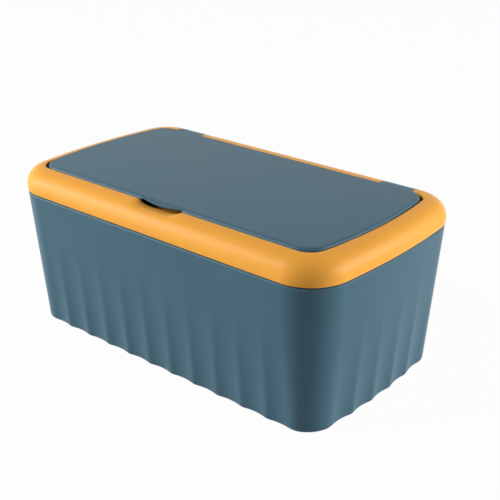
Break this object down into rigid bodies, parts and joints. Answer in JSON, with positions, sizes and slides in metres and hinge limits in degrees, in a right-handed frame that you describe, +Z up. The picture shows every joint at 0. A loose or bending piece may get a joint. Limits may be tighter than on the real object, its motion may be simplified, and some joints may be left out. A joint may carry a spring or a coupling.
{
  "type": "countertop wipes dispenser",
  "caption": "Fluted tub with a rounded lift-off cover, a flip lid on two rear hinges, a soft pull-through outlet and a sprung tray.",
  "frame": {"origin": "on the surface that the feet stand on, under the middle of the tub", "axes": "+X along the long side to the right as seen from the front, +Y from the front to the hinge side, +Z up"},
  "size_m": [0.22, 0.125, 0.095],
  "materials": {
    "navy_shell": "satin moulded polypropylene",
    "amber_shell": "satin moulded polypropylene",
    "tray_plastic": "satin moulded polypropylene",
    "soft_seal": "matt silicone",
    "foot_rubber": "matt rubber",
    "spring_steel": "drawn wire"
  },
  "bodies": {
    "base": {"tub": "navy_shell", "foot_front_left": "foot_rubber", "foot_front_right": "foot_rubber", "foot_rear_left": "foot_rubber", "foot_rear_right": "foot_rubber", "spring_front_left": "spring_steel", "spring_front_right": "spring_steel", "spring_rear_left": "spring_steel", "spring_rear_right": "spring_steel"},
    "tray": {"lift_tray": "tray_plastic"},
    "cover": {"cover": "amber_shell", "cover_seal": "soft_seal", "outlet": "soft_seal", "hinge_pin_left": "spring_steel", "hinge_pin_right": "spring_steel"},
    "lid": {"flip_lid": "navy_shell", "lid_seal": "soft_seal"}
  },
  "joints": [
    {"name": "cover_lift", "type": "slide", "parent": "base", "child": "cover", "axis": [0, 0, 1], "range_m": [0, 0.1]},
    {"name": "lid_hinge", "type": "hinge", "parent": "cover", "child": "lid", "pos_m": [0, 0.05602, 0.09028], "axis": [-1, 0, 0], "range_deg": [0, 110]},
    {"name": "tray_slide", "type": "slide", "parent": "base", "child": "tray", "axis": [0, 0, 1], "range_m": [-0.02, 0], "stiffness_N_per_m": 550, "springref_m": 0.001, "deforming": ["spring_front_left", "spring_front_right", "spring_rear_left", "spring_rear_right"]}
  ]
}
